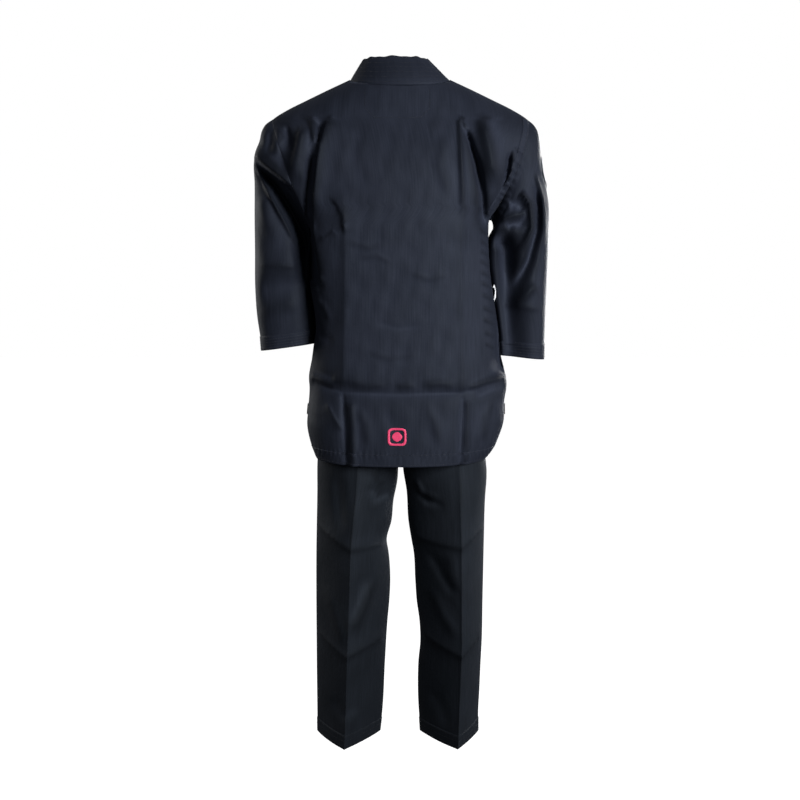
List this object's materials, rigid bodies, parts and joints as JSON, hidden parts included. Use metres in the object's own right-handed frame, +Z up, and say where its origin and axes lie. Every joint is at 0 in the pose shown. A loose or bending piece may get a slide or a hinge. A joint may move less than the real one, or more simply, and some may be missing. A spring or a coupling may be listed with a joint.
{
  "type": "martial arts uniform",
  "caption": "Cross-over martial arts jacket with three-quarter sleeves and side ties, worn over straight pressed trousers, in black cotton.",
  "frame": {"origin": "centre of the waist, at the top edge of the trouser waistband", "axes": "+Z up, the wearer faces -Y, the wearer's left is +X"},
  "size_m": [0.618, 0.2539, 1.428],
  "materials": {
    "jacket_cloth": "black cotton with a fine upright weave, dry and slightly shiny on pressed folds",
    "trouser_cloth": "black cotton, matt, pressed creases",
    "pink_thread": "raised satin embroidery",
    "badge_cloth": "white woven badge with an overlocked rim",
    "tie_tape": "white woven cotton tape"
  },
  "bodies": {
    "trousers": {"seat_left": "trouser_cloth", "seat_right": "trouser_cloth", "waistband": "trouser_cloth", "crotch_gusset": "trouser_cloth"},
    "jacket": {"back_panel": "jacket_cloth", "back_hem": "jacket_cloth", "left_chest": "jacket_cloth", "right_chest": "jacket_cloth", "left_side_panel": "jacket_cloth", "right_side_panel": "jacket_cloth", "collar_band": "jacket_cloth", "left_lapel": "jacket_cloth", "right_lapel": "jacket_cloth", "left_armhole_tape": "jacket_cloth", "right_armhole_tape": "jacket_cloth", "neck_patch": "jacket_cloth", "back_badge": "pink_thread", "left_slit_stay": "jacket_cloth", "right_slit_stay": "jacket_cloth", "side_tie": "tie_tape"},
    "outer_front": {"outer_flap": "jacket_cloth", "outer_flap_hem": "jacket_cloth", "outer_lapel_end": "jacket_cloth", "front_tie": "tie_tape"},
    "inner_front": {"inner_flap": "jacket_cloth", "inner_flap_hem": "jacket_cloth", "inner_lapel_end": "jacket_cloth"},
    "left_arm": {"left_sleeve": "jacket_cloth", "left_cuff": "jacket_cloth"},
    "right_arm": {"right_sleeve": "jacket_cloth", "right_cuff": "jacket_cloth", "arm_badge": "badge_cloth"},
    "left_trouser_leg": {"left_leg": "trouser_cloth", "left_leg_hem": "trouser_cloth"},
    "right_trouser_leg": {"right_leg": "trouser_cloth", "right_leg_hem": "trouser_cloth"}
  },
  "joints": [
    {"name": "jacket_lift", "type": "slide", "parent": "trousers", "child": "jacket", "axis": [0, 0, 1], "range_m": [0, 0.45]},
    {"name": "outer_front_open", "type": "hinge", "parent": "jacket", "child": "outer_front", "pos_m": [0.1503, -0.092, 0], "axis": [0, 0, 1], "range_deg": [0, 60]},
    {"name": "inner_front_open", "type": "hinge", "parent": "jacket", "child": "inner_front", "pos_m": [-0.1503, -0.092, 0], "axis": [0, 0, -1], "range_deg": [0, 24]},
    {"name": "left_sleeve_swing", "type": "hinge", "parent": "jacket", "child": "left_arm", "pos_m": [0.2627, 0, 0.38], "axis": [0, -1, 0], "range_deg": [0, 80]},
    {"name": "right_sleeve_swing", "type": "hinge", "parent": "jacket", "child": "right_arm", "pos_m": [-0.2627, 0, 0.38], "axis": [0, 1, 0], "range_deg": [0, 80]},
    {"name": "left_leg_swing", "type": "hinge", "parent": "trousers", "child": "left_trouser_leg", "pos_m": [0.088, 0, -0.308], "axis": [-1, 0, 0], "range_deg": [-15, 15]},
    {"name": "right_leg_swing", "type": "hinge", "parent": "trousers", "child": "right_trouser_leg", "pos_m": [-0.088, 0, -0.308], "axis": [-1, 0, 0], "range_deg": [-15, 15]}
  ],
  "couplings": [
    {"joint": "inner_front_open", "follows": "outer_front_open", "ratio": 0.4}
  ]
}
